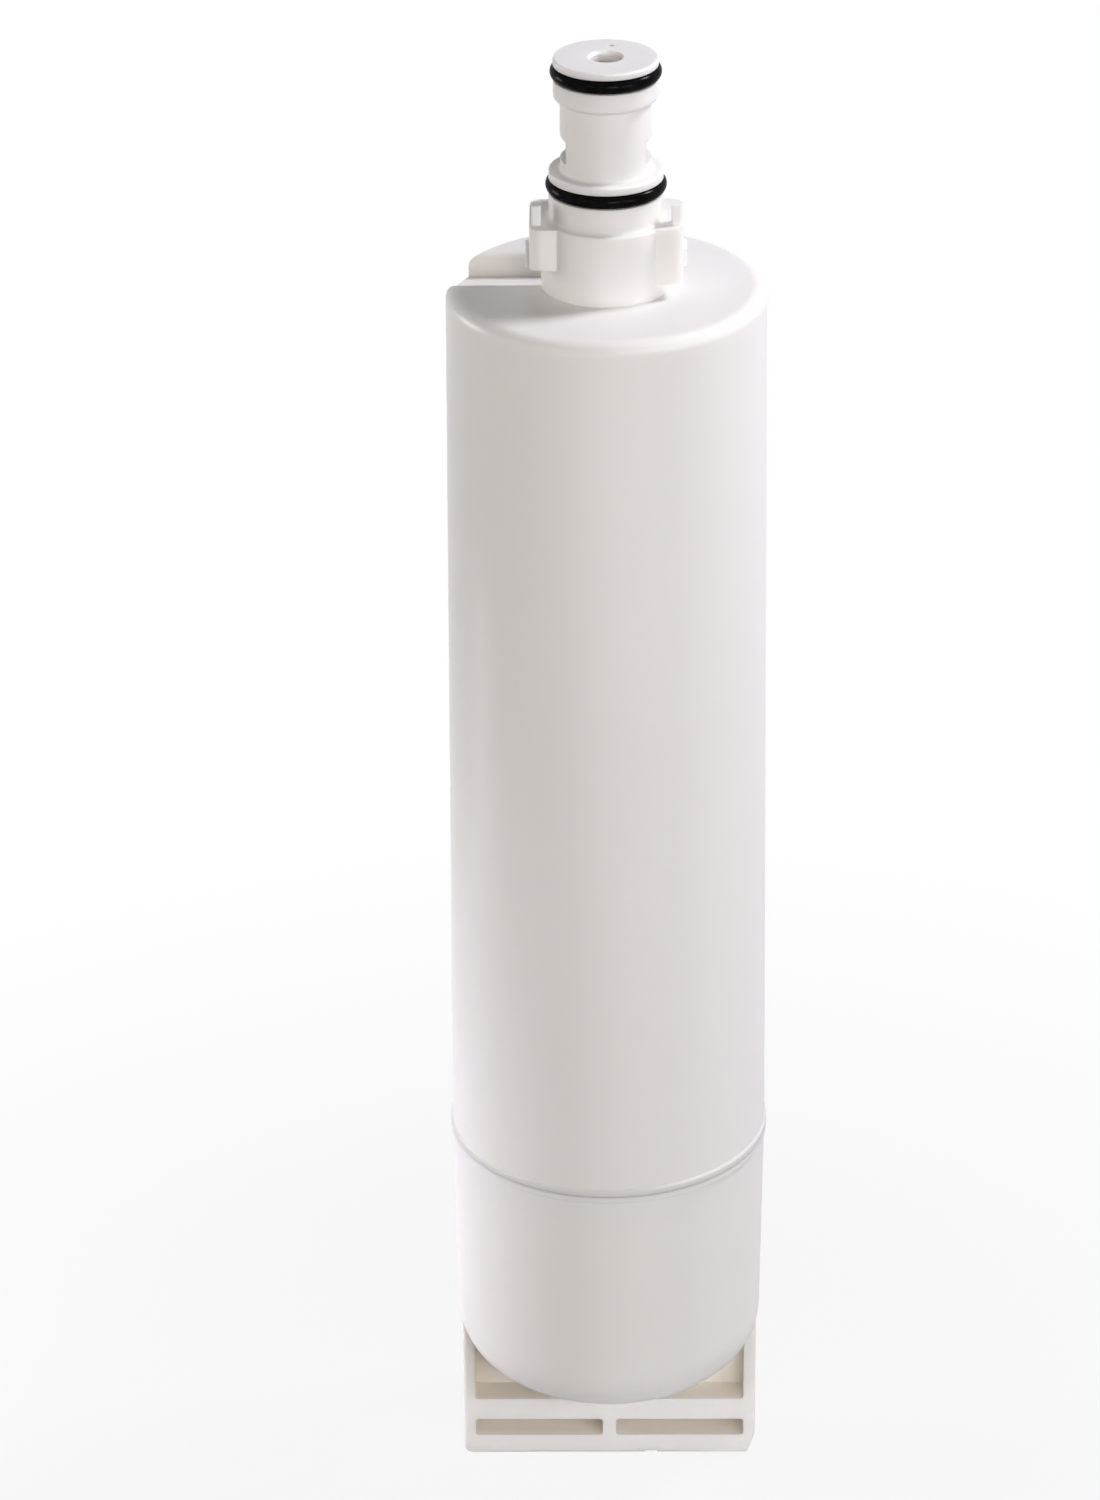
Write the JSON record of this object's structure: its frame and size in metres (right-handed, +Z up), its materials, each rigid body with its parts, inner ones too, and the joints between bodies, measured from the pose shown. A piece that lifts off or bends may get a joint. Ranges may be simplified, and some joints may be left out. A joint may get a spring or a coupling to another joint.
{
  "type": "fridge water filter cartridge",
  "caption": "Sealed white water filter cartridge with a sealed spigot and bayonet lugs on top and a rail foot below, pushed into a filter head and turned to lock.",
  "frame": {"origin": "middle of the rail foot's underside, on the cartridge's axis", "axes": "+Z up the cartridge's axis to the spigot, -Y the front with one grip hollow, X across the foot and lugs"},
  "size_m": [0.0636, 0.0636, 0.3017],
  "materials": {
    "housing_plastic": "satin",
    "cup_plastic": "satin",
    "seal_rubber": "lubricated gloss",
    "pressed_carbon": "granular",
    "filter_fleece": "matte",
    "cap_plastic": "satin"
  },
  "bodies": {
    "root": {"upper_housing": "housing_plastic", "lower_cup": "cup_plastic", "spigot_o_ring_upper": "seal_rubber", "spigot_o_ring_lower": "seal_rubber", "nipple_o_ring": "seal_rubber", "carbon_block": "pressed_carbon", "fleece_wrap": "filter_fleece", "core_liner": "filter_fleece", "upper_end_cap": "cap_plastic", "lower_end_cap": "cap_plastic"}
  },
  "joints": []
}
